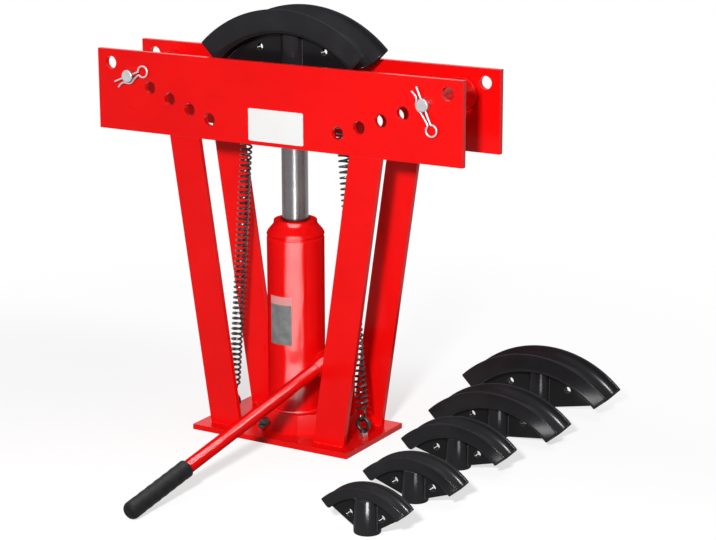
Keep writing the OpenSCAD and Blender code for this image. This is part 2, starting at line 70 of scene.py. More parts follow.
PLATE_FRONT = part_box("front_plate")[0].y / MM
PLATE_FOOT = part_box("front_plate")[0].z / MM
BASE_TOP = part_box("base_plate")[1].z / MM
TANK_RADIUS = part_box("jack_reservoir")[1].x / MM
TANK_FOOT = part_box("jack_reservoir")[0].z / MM
TANK_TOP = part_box("jack_reservoir")[1].z / MM
JACK_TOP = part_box("jack_head")[1].z / MM
PIN_X = 0.5 * (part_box("right_roller")[0].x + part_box("right_roller")[1].x) / MM
PIN_Z = 0.5 * (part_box("right_roller")[0].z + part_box("right_roller")[1].z) / MM

# Sizes and places that the boxes of the frame's nodes don't give, in millimetres and degrees
LEG_WIDTH = 50.0
TANK_WALL = 4.0
PIN_RADIUS = 9.0
SPRING_FOOT_X, SPRING_HEAD_X = 112.0, 77.0
LEVER_ROOT, LEVER_SWING, LEVER_TILT = (67.0, -5.0, 124.8), -7.75, 104.9

# Heights of the tank's label and of its coloured band, in millimetres
LABEL_FOOT, BAND_FOOT, LABEL_TOP = 139.0, 198.0, 210.0

# Nodes of the frame that keep their solids, by finish
LEGS = ("front_left_leg", "front_right_leg", "rear_left_leg", "rear_right_leg")
PAINTED = (
    "base_plate", "front_plate", "rear_plate", *LEGS, "jack_base", "fulcrum_post", "spring_crossbar",
    "left_roller", "right_roller",
)
LEVER = ("handle_socket", "handle_tube")
GROUND = ("ram", "pump_plunger", "ram_head_nut")
PLATED = (
    "eye_bolt_nuts", "pump_gland", "left_roller_pin", "right_roller_pin", "fulcrum_pin",
    "plunger_pin", "check_balls",
)
BLACKENED = ("spring_eye_bolts", "jack_screws", "jack_cylinder", "pump_barrel", "release_valve", "ram_piston")
SOFT = ("ram_wiper", "oil_filler_plug", "pump_seal", "piston_seal")

# Die: pipe diameter, rim radius, height, foot of its web, in millimetres
DIES = {
    "die_dn50": (60.3, 190, 95, 0.5),
    "die_dn40": (48.3, 170, 86, 0.5),
    "die_dn32": (42.4, 148, 70, 1),
    "die_dn25": (33.7, 115, 67, 6),
    "die_dn20": (26.9, 102, 63, 6),
    "die_dn15": (21.3, 86, 63, 6),
}
MOUNTED_DIE = "die_dn50"


class PaintLook(bpy.types.PropertyGroup):
    """The red enamel and the blank labels."""

    colour: bpy.props.FloatVectorProperty(
        name="Paint", description="Colour of the enamel", subtype="COLOR", default=(0.86, 0.003, 0.003)
    )
    deep: bpy.props.FloatVectorProperty(
        name="Deep paint", description="Colour where the enamel lies thick", subtype="COLOR",
        default=(0.72, 0.002, 0.003),
    )
    roughness: bpy.props.FloatProperty(
        name="Roughness", description="Roughness of the enamel", default=0.27, min=0.0, max=1.0, subtype="FACTOR"
    )
    label: bpy.props.FloatVectorProperty(
        name="Label", description="Colour of the plain label on the plate", subtype="COLOR",
        default=(0.84, 0.84, 0.83),
    )


class SteelLook(bpy.types.PropertyGroup):
    """The bare, plated and blackened steel."""

    ram: bpy.props.FloatVectorProperty(
        name="Ram", description="Colour of the ground ram", subtype="COLOR", default=(0.15, 0.145, 0.15)
    )
    plate: bpy.props.FloatVectorProperty(
        name="Plating", description="Colour of the zinc plating", subtype="COLOR", default=(0.62, 0.62, 0.64)
    )
    black: bpy.props.FloatVectorProperty(
        name="Blackening", description="Colour of the blackened steel", subtype="COLOR", default=(0.05, 0.05, 0.052)
    )


class DieLook(bpy.types.PropertyGroup):
    """The cast dies and their black paint."""

    colour: bpy.props.FloatVectorProperty(
        name="Black paint", description="Colour of the dies", subtype="COLOR", default=(0.014, 0.0133, 0.0150)
    )
    # Colour of the die edges: partly wear through the paint, partly a painted highlight where the rounded edges
    # catch the light.
    edge: bpy.props.FloatVectorProperty(
        name="Worn_and_highlit edge", description="Colour of the rubbed_and_highlit edges", subtype="COLOR", default=(0.16, 0.16, 0.17)
    )
    rounding: bpy.props.FloatProperty(
        name="Rounding", description="Rounding of the cast edges", default=0.0017, min=0.0002, max=0.002,
        subtype="DISTANCE", unit="LENGTH",
    )


class SpringShape(bpy.types.PropertyGroup):
    """The return springs."""

    curls: bpy.props.IntProperty(
        name="Curls", description="Curls in each spring", default=52, min=44, max=54,
        subtype="UNSIGNED",
    )
    wire: bpy.props.FloatProperty(
        name="Wire", description="Wire diameter", default=0.0032, min=0.0024, max=0.0034, subtype="DISTANCE",
        unit="LENGTH",
    )


class StageSetup(bpy.types.PropertyGroup):
    """The floor, the lamps and the camera."""

    floor: bpy.props.FloatVectorProperty(
        name="Floor", description="Colour of the floor", subtype="COLOR", default=(0.95, 0.95, 0.95)
    )
    focal: bpy.props.FloatProperty(
        name="Focal length", description="Focal length on a 36 mm wide sensor, in millimetres", default=104.68,
        min=20.0, max=300.0, unit="CAMERA",
    )


LOOKS = (
    ("bender_paint", PaintLook), ("bender_steel", SteelLook), ("bender_dies", DieLook),
    ("bender_springs", SpringShape), ("bender_stage", StageSetup),
)


class Num:
    """A number on its way to a shader: Python's operators on it add Math nodes."""

    def __init__(self, finish, socket):
        self.finish = finish
        self.socket = socket

    def _math(self, operation, first, second, clamp=False):
        settings = {"operation": operation, "use_clamp": clamp}
        return Num(self.finish, self.finish.node("ShaderNodeMath", settings, {0: first, 1: second}).outputs[0])

    def __add__(self, other):
        return self._math("ADD", self, other)

    def __radd__(self, other):
        return self._math("ADD", other, self)

    def __sub__(self, other):
        return self._math("SUBTRACT", self, other)

    def __rsub__(self, other):
        return self._math("SUBTRACT", other, self)

    def __mul__(self, other):
        return self._math("MULTIPLY", self, other)

    def __rmul__(self, other):
        return self._math("MULTIPLY", other, self)

    def __pow__(self, other):
        return self._math("POWER", self, other)

    def clamped(self):
        return self._math("ADD", self, 0.0, clamp=True)

    def between(self, low, high):
        """0 below low, 1 above high, smooth between them."""
        settings = {"interpolation_type": "SMOOTHSTEP", "clamp": True}
        made = self.finish.node("ShaderNodeMapRange", settings, {"Value": self, "From Min": low, "From Max": high})
        return Num(self.finish, made.outputs["Result"])


class Finish:
    """A material, or the world, being mixed from nodes."""

    def __init__(self, owner):
        owner.use_nodes = True
        self.owner = owner
        self.tree = owner.node_tree
        self.tree.nodes.clear()

    @functools.cached_property
    def place(self):
        """Object coordinates."""
        return self.node("ShaderNodeTexCoord").outputs["Object"]

    def node(self, kind, settings=None, values=None):
        """Adds a node: its settings first, then the values or links of its sockets."""
        made = self.tree.nodes.new(kind)
        for key, value in (settings or {}).items():
            setattr(made, key, value)
        for key, value in (values or {}).items():
            self.feed(made, key, value)
        return made

    def feed(self, made, key, value):
        """Sets or links one socket, found by number, identifier or name."""
        if isinstance(key, int):
            socket = made.inputs[key]
        else:
            found = [s for s in made.inputs if s.identifier == key] or [s for s in made.inputs if s.name == key]
            socket = found[0]
        value = value.socket if isinstance(value, Num) else value
        if isinstance(value, bpy.types.NodeSocket):
            self.tree.links.new(value, socket)
        elif socket.type == "RGBA":
            socket.default_value = (*tuple(value)[:3], 1.0)
        else:
            socket.default_value = value

    def noise(self, scale, detail, place=None):
        made = self.node(
            "ShaderNodeTexNoise", None,
            {"Vector": place or self.place, "Scale": scale, "Detail": detail, "Roughness": 0.55},
        )
        return Num(self, made.outputs[0])

    def stretched(self, scale):
        """Object coordinates scaled by a vector, for grain that runs one way."""
        made = self.node("ShaderNodeMapping", {"vector_type": "POINT"}, {"Vector": self.place, "Scale": scale})
        return made.outputs["Vector"]

    def part(self, axis):
        """One of the object coordinates, by its letter."""
        split = self.node("ShaderNodeSeparateXYZ", None, {0: self.place})
        return Num(self, split.outputs[axis])

    def mix(self, factor, first, second):
        settings = {"data_type": "RGBA", "clamp_factor": True}
        values = {"Factor_Float": factor, "A_Color": first, "B_Color": second}
        made = self.node("ShaderNodeMix", settings, values)
        return next(socket for socket in made.outputs if socket.identifier == "Result_Color")

    def seen(self):
        """1 for rays that show a surface to the eye, directly, in gloss or through glass, and 0 for the rest."""
        rays = self.node("ShaderNodeLightPath")
        camera, glossy, through = (
            Num(self, rays.outputs[f"Is {kind} Ray"]) for kind in ("Camera", "Glossy", "Transmission")
        )
        return (camera + glossy + through).clamped()

    def rounded(self, radius):
        """The normal as if the edges were rounded, and how near an edge lies, from 0 to 1."""
        soft = self.node("ShaderNodeBevel", {"samples": 6}, {"Radius": radius}).outputs[0]
        flat = self.node("ShaderNodeNewGeometry").outputs["Normal"]
        dot = self.node("ShaderNodeVectorMath", {"operation": "DOT_PRODUCT"}, {0: soft, 1: flat}).outputs["Value"]
        steepness = 6.0
        return soft, ((1.0 - Num(self, dot)) * steepness).clamped()

    def bump(self, height, strength, distance, normal=None):
        values = {"Strength": strength, "Distance": distance, "Height": height}
        if normal is not None:
            values["Normal"] = normal
        return self.node("ShaderNodeBump", None, values).outputs[0]

    def shade(self, values):
        """Ends the material with its one shader."""
        shader = self.node("ShaderNodeBsdfPrincipled", None, values)
        self.node("ShaderNodeOutputMaterial", None, {"Surface": shader.outputs[0]})
        return self.owner


def once(maker):
    """Makes a material the first time it is asked for."""
    made = []

    def wrapped():
        if not made:
            made.append(maker(Finish(bpy.data.materials.new(maker.__name__))))
        return made[0]
    return wrapped


def enamel(f, roughness, gloss, coat, coat_roughness, share=1.0):
    """Red enamel: clouded colour, a fine orange peel, and rounded edges paled by a painted highlight. The share
    scales its coat.
    """
    look = bpy.context.scene.bender_paint
    soft, edge = f.rounded(0.0011)
    depth = f.noise(9.0, 3.0)
    cloud = f.noise(42.0, 4.0)
    peel = f.noise(620.0, 1.0)
    grit = f.noise(2600.0, 2.0)
    colour = f.mix(depth.between(0.35, 0.75) * 0.45, look.colour, look.deep)
    # Painted highlight: the rounded edges are paled towards a brighter red, as if they caught the light.
    colour = f.mix(edge * 0.35, colour, (0.95, 0.06, 0.05))
    return f.shade({
        "Base Color": colour,
        "Roughness": roughness + 0.10 * (cloud - 0.5) + 0.06 * depth + 0.08 * edge,
        "Specular IOR Level": gloss,
        "Coat Weight": (coat + 0.05 * cloud.between(0.3, 0.7)) * share,
        "Coat Roughness": coat_roughness,
        "Normal": f.bump(peel + 0.35 * grit, 0.10, 0.00025, soft),
    })


@once
def red_enamel(f):
    look = bpy.context.scene.bender_paint
    return enamel(f, look.roughness, gloss=0.12, coat=0.02, coat_roughness=0.08)


@once
def bright_enamel(f):
    """The jack's and lever's glossier enamel, whose coat fades where the surface turns away."""
    facing = Num(f, f.node("ShaderNodeLayerWeight", None, {"Blend": 0.5}).outputs["Facing"])
    return enamel(f, 0.13, gloss=0.0, coat=0.14, coat_roughness=0.13, share=(1.0 - facing) ** 2.0)


@once
def red_weld(f):
    look = bpy.context.scene.bender_paint
    ripple = f.noise(420.0, 3.0)
    colour = f.mix(ripple.between(0.3, 0.8) * 0.6, look.colour, look.deep)
    return f.shade({
        "Base Color": colour,
        "Roughness": 0.30 + 0.12 * ripple,
        "Specular IOR Level": 0.12,
        "Normal": f.bump(ripple, 0.35, 0.0006),
    })


@once
def cast_black(f):
    look = bpy.context.scene.bender_dies
    soft, edge = f.rounded(0.0010)
    sand = f.noise(950.0, 3.0)
    cast = f.noise(160.0, 4.0)
    cloud = f.noise(18.0, 3.0)
    # Edges paled towards look.edge: partly rubbed wear, partly a painted highlight along the rounded edges.
    rub_and_highlight = (edge * (0.35 + 0.9 * f.noise(260.0, 3.0))).clamped()
    colour = f.mix(cloud.between(0.35, 0.7) * 0.5, look.colour, (0.025, 0.0236, 0.0265))
    colour = f.mix(cast.between(0.62, 0.80) * 0.25, colour, (0.034, 0.033, 0.034))
    # Painted shade: the web, sunk inside the rim, is darkened as if the rim shaded it.
    recess = Num(f, f.node("ShaderNodeAttribute", {"attribute_name": "recess"}).outputs["Fac"])
    colour = f.mix(recess * 0.6, colour, (0.004, 0.004, 0.0045))
    colour = f.mix(rub_and_highlight * 0.75, colour, look.edge)
    return f.shade({
        "Base Color": colour,
        "Roughness": 0.42 + 0.14 * (cast - 0.5) + 0.08 * cloud - 0.06 * rub_and_highlight,
        "Specular IOR Level": 0.0,
        "Coat Weight": 0.18 + 0.10 * cloud,
        "Coat Roughness": 0.20,
        "Normal": f.bump(0.6 * cast + 0.5 * sand, 0.10, 0.0003, soft),
    })


@once
def ground_steel(f):
    look = bpy.context.scene.bender_steel
    soft, edge = f.rounded(0.0006)
    rings = f.noise(1.0, 3.0, f.stretched((6.0, 6.0, 5200.0)))
    drawn = f.noise(1.0, 2.0, f.stretched((900.0, 900.0, 9.0)))
    film = f.noise(24.0, 3.0)
    colour = f.mix(film.between(0.3, 0.75) * 0.5, look.ram, (0.22, 0.21, 0.205))
    colour = f.mix(edge * 0.5, colour, (0.42, 0.42, 0.43))
    return f.shade({
        "Base Color": colour,
        "Metallic": 1.0,
        "Roughness": 0.17 + 0.12 * rings + 0.05 * drawn + 0.06 * film,
        "Normal": f.bump(rings, 0.05, 0.0001, soft),
    })


@once
def zinc_plate(f):
    look = bpy.context.scene.bender_steel
    soft, edge = f.rounded(0.0005)
    bloom = f.noise(75.0, 4.0)
    spangle = f.noise(900.0, 2.0)
    colour = f.mix(bloom.between(0.35, 0.7) * 0.6, look.plate, (0.50, 0.50, 0.47))
    colour = f.mix(edge * 0.4, colour, (0.86, 0.86, 0.87))
    return f.shade({
        "Base Color": colour,
        "Metallic": 1.0,
        "Roughness": 0.24 + 0.14 * bloom + 0.05 * spangle,
        "Normal": f.bump(spangle, 0.06, 0.0001, soft),
    })


@once
def black_steel(f):
    look = bpy.context.scene.bender_steel
    soft, edge = f.rounded(0.0006)
    scale = f.noise(130.0, 4.0)
    colour = f.mix(scale.between(0.35, 0.75) * 0.6, look.black, (0.11, 0.105, 0.10))
    colour = f.mix(edge * 0.6, colour, (0.32, 0.32, 0.32))
    return f.shade({
        "Base Color": colour,
        "Metallic": 0.9,
        "Roughness": 0.30 + 0.2 * scale,
        "Normal": f.bump(scale, 0.10, 0.0002, soft),
    })


@once
def spring_steel(f):
    oil = f.noise(60.0, 3.0)
    die_marks = f.noise(1500.0, 2.0)
    colour = f.mix(oil.between(0.3, 0.7), (0.045, 0.044, 0.046), (0.12, 0.117, 0.115))
    return f.shade({
        "Base Color": colour,
        "Metallic": 1.0,
        "Roughness": 0.20 + 0.14 * oil + 0.05 * die_marks,
        "Normal": f.bump(die_marks, 0.05, 0.0001),
    })


@once
def moulded_rubber(f):
    grain = f.noise(1400.0, 3.0)
    bloom = f.noise(55.0, 4.0)
    colour = f.mix(bloom.between(0.35, 0.75) * 0.7, (0.006, 0.006, 0.007), (0.016, 0.016, 0.018))
    return f.shade({
        "Base Color": colour,
        "Roughness": 0.52 + 0.16 * bloom + 0.08 * grain,
        "Specular IOR Level": 0.12,
        "Normal": f.bump(grain + 0.4 * bloom, 0.25, 0.0002),
    })


@once
def white_label(f):
    look = bpy.context.scene.bender_paint
    fibre = f.noise(900.0, 3.0)
    stain = f.noise(28.0, 3.0)
    colour = f.mix(stain.between(0.45, 0.85) * 0.25, look.label, (0.74, 0.73, 0.70))
    return f.shade({
        "Base Color": colour,
        "Roughness": 0.36 + 0.14 * stain,
        "Normal": f.bump(fibre, 0.06, 0.0001),
    })


@once
def grey_label(f):
    fibre = f.noise(900.0, 3.0)
    tint = f.noise(70.0, 3.0)
    blur = 0.5
    band = f.part("Z").between((BAND_FOOT - blur) * MM, (BAND_FOOT + blur) * MM)
    foil = f.mix(tint.between(0.3, 0.75), (0.15, 0.165, 0.165), (0.24, 0.25, 0.25))
    colour = f.mix(band, foil, (0.72, 0.30, 0.29))
    return f.shade({
        "Base Color": colour,
        "Metallic": 0.35 - 0.35 * band,
        "Roughness": 0.38 + 0.12 * tint,
        "Normal": f.bump(fibre, 0.06, 0.0001),
    })


def paint_nodes(names, material):
    """Gives CAD nodes a material."""
    for name in names:
        node = frame["nodes"][name]
        if not node.material_slots:
            raise RuntimeError(f"{name} has no material slot")
        for place in node.material_slots:
            place.material = material


def finished(name, bm, body, material, sharp=38.0):
    """Turns a bmesh into a piece that rides on a body, if one is given, smooth but for its sharp edges."""
    bmesh.ops.recalc_face_normals(bm, faces=bm.faces)
    for face in bm.faces:
        face.smooth = True
    for line in bm.edges:
        if line.is_manifold and line.calc_face_angle(0.0) > math.radians(sharp):
            line.smooth = False
    mesh = bpy.data.meshes.new(name)
    bm.to_mesh(mesh)
    bm.free()
    mesh.materials.append(material)
    piece = bpy.data.objects.new(name, mesh)
    bpy.context.scene.collection.objects.link(piece)
    even = piece.modifiers.new("even_normals", "WEIGHTED_NORMAL")
    even.keep_sharp = True
    if body:
        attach(piece, body)
    return piece


def turned(bm, outline, steps, matrix=None):
    """Spins an outline of (radius, height) in millimetres round Z, then moves it."""
    verts = [bm.verts.new((r * MM, 0, z * MM)) for r, z in outline]
    lines = [bm.edges.new(pair) for pair in zip(verts, verts[1:])]
    before = set(bm.verts) - set(verts)
    bmesh.ops.spin(
        bm, geom=verts + lines, cent=(0, 0, 0), axis=(0, 0, 1), angle=TURN, steps=steps, use_merge=True
    )
    bmesh.ops.remove_doubles(bm, verts=[v for v in bm.verts if v not in before], dist=MERGED)
    made = [v for v in bm.verts if v not in before]
    if matrix is not None:
        bmesh.ops.transform(bm, matrix=matrix, verts=made)
    return made


def soften(bm, verts, width, angle, segments):
    """Rounds the edges between these vertices that are sharper than an angle in degrees."""
    chosen = set(verts)
    lines = [
        line for line in bm.edges
        if line.verts[0] in chosen and line.verts[1] in chosen and line.is_manifold
        and line.calc_face_angle(0.0) > math.radians(angle)
    ]
    bmesh.ops.bevel(
        bm, geom=lines, offset=width * MM, offset_type="OFFSET", affect="EDGES", segments=segments, profile=0.5,
        material=-1, clamp_overlap=True,
    )


def smooth_path(points, parts):
    """More points along a path, on a curve that passes through the given ones."""
    points = [Vector(p) for p in points]
    path = []
    for i in range(len(points) - 1):
        a, b = points[max(i - 1, 0)], points[i]
        c, d = points[i + 1], points[min(i + 2, len(points) - 1)]
        for k in range(parts):
            t = k / parts
            path.append(0.5 * (
                2 * b + (c - a) * t + (2 * a - 5 * b + 4 * c - d) * t * t + (3 * b - a - 3 * c + d) * t ** 3
            ))
    path.append(points[-1])
    return path


def wire_along(bm, path, diameter, sides, swell=None):
    """Extrudes a ring along a path in millimetres. swell gives the ring's size at each point."""
    path = [Vector(p) * MM for p in path]
    heading = (path[1] - path[0]).normalized()
    stand = Matrix.Translation(path[0]) @ heading.to_track_quat("Z", "Y").to_matrix().to_4x4()
    size = swell(0) if swell else 1.0
    start = bmesh.ops.create_circle(
        bm, cap_ends=False, segments=sides, radius=0.5 * diameter * MM * size, matrix=stand
    )["verts"]
    ring = list({line for v in start for line in v.link_edges})
    bmesh.ops.edgeloop_fill(bm, edges=ring)
    for i in range(1, len(path)):
        ahead = path[min(i + 1, len(path) - 1)] - path[i - 1]
        ahead.normalize()
        made = bmesh.ops.extrude_edge_only(bm, edges=ring)["geom"]
        verts = [g for g in made if isinstance(g, bmesh.types.BMVert)]
        ring = [g for g in made if isinstance(g, bmesh.types.BMEdge) and set(g.verts) <= set(verts)]
        turn = heading.rotation_difference(ahead).to_matrix()
        bmesh.ops.rotate(bm, cent=path[i - 1], matrix=turn, verts=verts)
        bmesh.ops.translate(bm, vec=path[i] - path[i - 1], verts=verts)
        if swell:
            growth = swell(i) / size
            bmesh.ops.scale(
                bm, vec=(growth, growth, growth), space=Matrix.Translation(-path[i]), verts=verts
            )
            size = swell(i)
        heading = ahead
    bmesh.ops.edgeloop_fill(bm, edges=ring)


def die_foot(name):
    """The middle of a die's foot, in metres."""
    low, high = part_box(name)
    return Vector((0.5 * (low.x + high.x), 0.5 * (low.y + high.y), low.z))


class BENDER_OT_paint_frame(bpy.types.Operator):
    """Paint the plates, legs, casting, lever and rollers"""

    bl_idname = "bender.paint_frame"
    bl_label = "Painted frame"

    def execute(self, context):
        paint_nodes(PAINTED, red_enamel())
        paint_nodes(LEVER, bright_enamel())
        return {"FINISHED"}


class BENDER_OT_bare_steel(bpy.types.Operator):
    """Finish the ram, pins, screws, valve and seals"""

    bl_idname = "bender.bare_steel"
    bl_label = "Bare steel and seals"

    def execute(self, context):
        paint_nodes(GROUND, ground_steel())
        paint_nodes(PLATED, zinc_plate())
        paint_nodes(BLACKENED, black_steel())
        paint_nodes(SOFT, moulded_rubber())
        return {"FINISHED"}


class BENDER_OT_jack_tank(bpy.types.Operator):
    """Make the oil tank with its rolled edges and the domed head"""

    bl_idname = "bender.jack_tank"
    bl_label = "Jack tank and head"

    def execute(self, context):
        self.tank()
        self.head()
        self.weld()
        return {"FINISHED"}

    def tank(self):
        inner, outer, roll = TANK_RADIUS - TANK_WALL, TANK_RADIUS, 2.2
        bm = bmesh.new()
        verts = turned(bm, [
            (inner, TANK_FOOT), (outer, TANK_FOOT), (outer, TANK_TOP), (inner, TANK_TOP), (inner, TANK_FOOT),
        ], FINE)
        soften(bm, verts, roll, angle=40, segments=5)
        tank = finished("tank_skin", bm, "frame", bright_enamel())
        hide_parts("jack_reservoir")

    def head(self):
        r, top, lip = TANK_RADIUS, TANK_TOP, JACK_TOP
        bore, wiper_seat, seat_depth = 19.05, 21.9, 8.0
        spigot, spigot_foot = r - TANK_WALL - 0.1, top - 12.0
        seam, seam_height = r - 1.4, 2.0
        bm = bmesh.new()
        slope = smooth_path([
            (r, top + 3.2), (r, top + 5), (r - 1.6, top + 8.5), (r - 5.1, top + 12.8), (r - 8.6, lip - 8),
            (r - 10, lip - 5.5), (r - 10.2, lip - 1.2),
        ], 5)
        verts = turned(bm, [
            (bore, spigot_foot), (spigot, spigot_foot), (spigot, top), (seam, top), (seam, top + seam_height),
            *slope, (r - 11.4, lip), (wiper_seat, lip), (wiper_seat, lip - seat_depth), (bore, lip - seat_depth),
            (bore, spigot_foot),
        ], FINE)
        soften(bm, verts, 0.5, angle=32, segments=3)
        head = finished("domed_head", bm, "frame", bright_enamel())
        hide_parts("jack_head")

    def weld(self):
        steps, bead, out, up = 180, 5.0, 0.4, 0.6
        bm = bmesh.new()
        ring = [
            (Vector((math.cos(a), math.sin(a), 0)) * (TANK_RADIUS + out)) + Vector((0, 0, TANK_FOOT + up))
            for a in (TURN * k / steps for k in range(steps + 1))
        ]

        def swell(i):
            return 1.0 + 0.10 * math.sin(i * 2.1) + 0.05 * math.sin(i * 0.37)

        wire_along(bm, ring, bead, sides=8, swell=swell)
        finished("tank_weld", bm, "frame", red_weld())


class BENDER_OT_weld_beads(bpy.types.Operator):
    """Lay the weld beads where the legs meet the base and the plates"""

    bl_idname = "bender.weld_beads"
    bl_label = "Weld beads"

    def execute(self, context):
        inset, proud, foot_bead, top_bead = 2.0, 0.6, 4.6, 5.0
        bm = bmesh.new()
        for name in LEGS:
            low, high = (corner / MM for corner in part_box(name))
            left = (low.x + inset, low.x + LEG_WIDTH - inset)
            right = (high.x - LEG_WIDTH + inset, high.x - inset)
            foot, top = (left, right) if low.x + high.x > 0 else (right, left)
            for y, out in ((low.y, -1), (high.y, 1)):
                self.bead(bm, foot, y + proud * out, BASE_TOP + proud, foot_bead)
            y, out = (high.y, 1) if high.y < 0 else (low.y, -1)
            self.bead(bm, top, y + 0.2 * out, PLATE_FOOT, top_bead)
        finished("leg_welds", bm, "frame", red_weld())
        return {"FINISHED"}

    def bead(self, bm, span, y, z, diameter):
        count = 46
        path = [(span[0] + (span[1] - span[0]) * k / count, y, z) for k in range(count + 1)]

        def swell(i):
            ends = min(1.0, 0.35 + 0.25 * min(i, count - i))
            return ends * (1.0 + 0.13 * math.sin(i * 1.9 + span[0]) + 0.06 * math.sin(i * 0.53 + y))

        wire_along(bm, path, diameter, sides=8, swell=swell)


class BENDER_OT_labels(bpy.types.Operator):
    """Stick a plain label on the front plate and one on the tank"""

    bl_idname = "bender.labels"
    bl_label = "Plain labels"

    def execute(self, context):
        self.plate_label()
        self.tank_label()
        return {"FINISHED"}

    def plate_label(self):
        wide, tall, thick, clear, corner = 90.5, 46.0, 0.3, 0.02, 2.5
        middle = Vector((5.8, PLATE_FRONT - thick, PLATE_FOOT + 28.6))
        bm = bmesh.new()
        made = bmesh.ops.create_grid(bm, x_segments=1, y_segments=1, size=0.5)["verts"]
        bmesh.ops.scale(bm, vec=(wide * MM, tall * MM, 1), verts=made)
        bmesh.ops.rotate(bm, cent=(0, 0, 0), matrix=Matrix.Rotation(math.radians(90), 3, "X"), verts=made)
        bmesh.ops.translate(bm, vec=middle * MM, verts=made)
        bmesh.ops.bevel(
            bm, geom=made, offset=corner * MM, affect="VERTICES", segments=4, profile=0.5, material=-1
        )
        skin = bmesh.ops.extrude_face_region(bm, geom=list(bm.faces))["geom"]
        back = [g for g in skin if isinstance(g, bmesh.types.BMVert)]
        bmesh.ops.translate(bm, vec=(0, (thick - clear) * MM, 0), verts=back)
        finished("plate_label", bm, "frame", white_label())

    def tank_label(self):
        inner, outer = TANK_RADIUS + 0.05, TANK_RADIUS + 0.30
        start, end = math.radians(-117), math.radians(-67)
        corners = [(inner, LABEL_FOOT), (outer, LABEL_FOOT), (outer, LABEL_TOP), (inner, LABEL_TOP)]
        bm = bmesh.new()
        turn = Matrix.Rotation(start, 4, "Z")
        verts = [bm.verts.new(turn @ (Vector((r, 0, z)) * MM)) for r, z in corners]
        section = bm.faces.new(verts)
        lines = list(section.edges)
        bm.faces.remove(section)
        last = bmesh.ops.spin(
            bm, geom=verts + lines, cent=(0, 0, 0), axis=(0, 0, 1), angle=end - start, steps=24
        )["geom_last"]
        bmesh.ops.edgeloop_fill(bm, edges=lines)
        bmesh.ops.edgeloop_fill(bm, edges=[g for g in last if isinstance(g, bmesh.types.BMEdge)])
        finished("tank_label", bm, "frame", grey_label())


class BENDER_OT_return_springs(bpy.types.Operator):
    """Wind the return springs with their hooks"""

    bl_idname = "bender.return_springs"
    bl_label = "Return springs"

    def execute(self, context):
        look = context.scene.bender_springs
        wire = look.wire / MM
        loop, coil, held, steps = 6.5, 7.5, 4.0, 14
        lead = 0.5 * loop + 7
        for side, name in ((-1, "left"), (1, "right")):
            low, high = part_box(f"{name}_return_spring")
            foot = Vector((side * SPRING_FOOT_X, 0, low.z / MM + 0.5 * wire))
            head = Vector((side * SPRING_HEAD_X, 0, high.z / MM - 0.5 * wire))
            along = (head - foot).normalized()
            across = Vector((0, 1, 0)).cross(along)
            start = foot + loop * along
            span = (head - foot).length - 2 * loop
            path = [(0, loop * math.sin(a), loop * math.cos(a)) for a in self.degrees(-50, -300, -12.5)]
            count = steps * look.curls
            for k in range(count + 1):
                a = math.radians(90) + TURN * k / steps
                path.append((coil * math.cos(a), coil * math.sin(a), lead + (span - 2 * lead) * k / count))
            path += [(0, loop * math.sin(a), span - loop * math.cos(a)) for a in self.degrees(60, 310, 12.5)]
            points = [start + x * across + Vector((0, y, 0)) + z * along for x, y, z in path]
            bm = bmesh.new()
            wire_along(bm, points, wire, sides=9)
            spring = finished(f"{name}_spring_wire", bm, None, spring_steel())
            low_end, high_end = start + held * along, start + (span - held) * along
            low_end * MM
            high_end * MM
            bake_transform(spring)
            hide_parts(f"{name}_return_spring")
        return {"FINISHED"}

    def degrees(self, first, last, step):
        count = round((last - first) / step)
        return [math.radians(first + step * k) for k in range(count + 1)]


class BENDER_OT_pin_clips(bpy.types.Operator):
    """Bend the hairpin clips that keep the roller pins"""

    bl_idname = "bender.pin_clips"
    bl_label = "Hairpin clips"

    def execute(self, context):
        for side, name, tilt, reach in ((-1, "left", 22, 27), (1, "right", -66, 36)):
            low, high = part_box(f"{name}_pin_clip")
            wire = (high.y - low.y) / MM
            middle = 0.5 * (low.y + high.y) / MM
            hug, loop, gap = PIN_RADIUS + 0.5 * wire + 0.3, 8.0, 0.78 * wire

            # A straight leg through the pin, a loop, and a bent leg round the pin's side
            path = [(-26, 0), (-20, 0), (-12, 0), (0, 0), (12, 0), (reach - 11, 0)]
            path += [
                (reach + loop * math.cos(a), gap + loop * math.sin(a))
                for a in (math.radians(200 + 16 * k) for k in range(21))
            ]
            path.append((reach - 10.5, 2 * gap))
            path += [
                (hug * math.cos(a), hug * math.sin(a)) for a in (math.radians(46 + 12 * k) for k in range(8))
            ]
            path += [(-11.5, 6.2), (-17, 6.6), (-23, 9.5)]

            turn = Matrix.Rotation(math.radians(-tilt), 3, "Y")
            seat = Vector((side * PIN_X, middle, PIN_Z))
            points = [seat + turn @ Vector((x, 0, -y)) for x, y in path]
            bm = bmesh.new()
            wire_along(bm, smooth_path(points, 3), wire, sides=12)
            clip = finished(f"{name}_hairpin", bm, f"{name}_pin", zinc_plate())
            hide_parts(f"{name}_pin_clip")
        return {"FINISHED"}


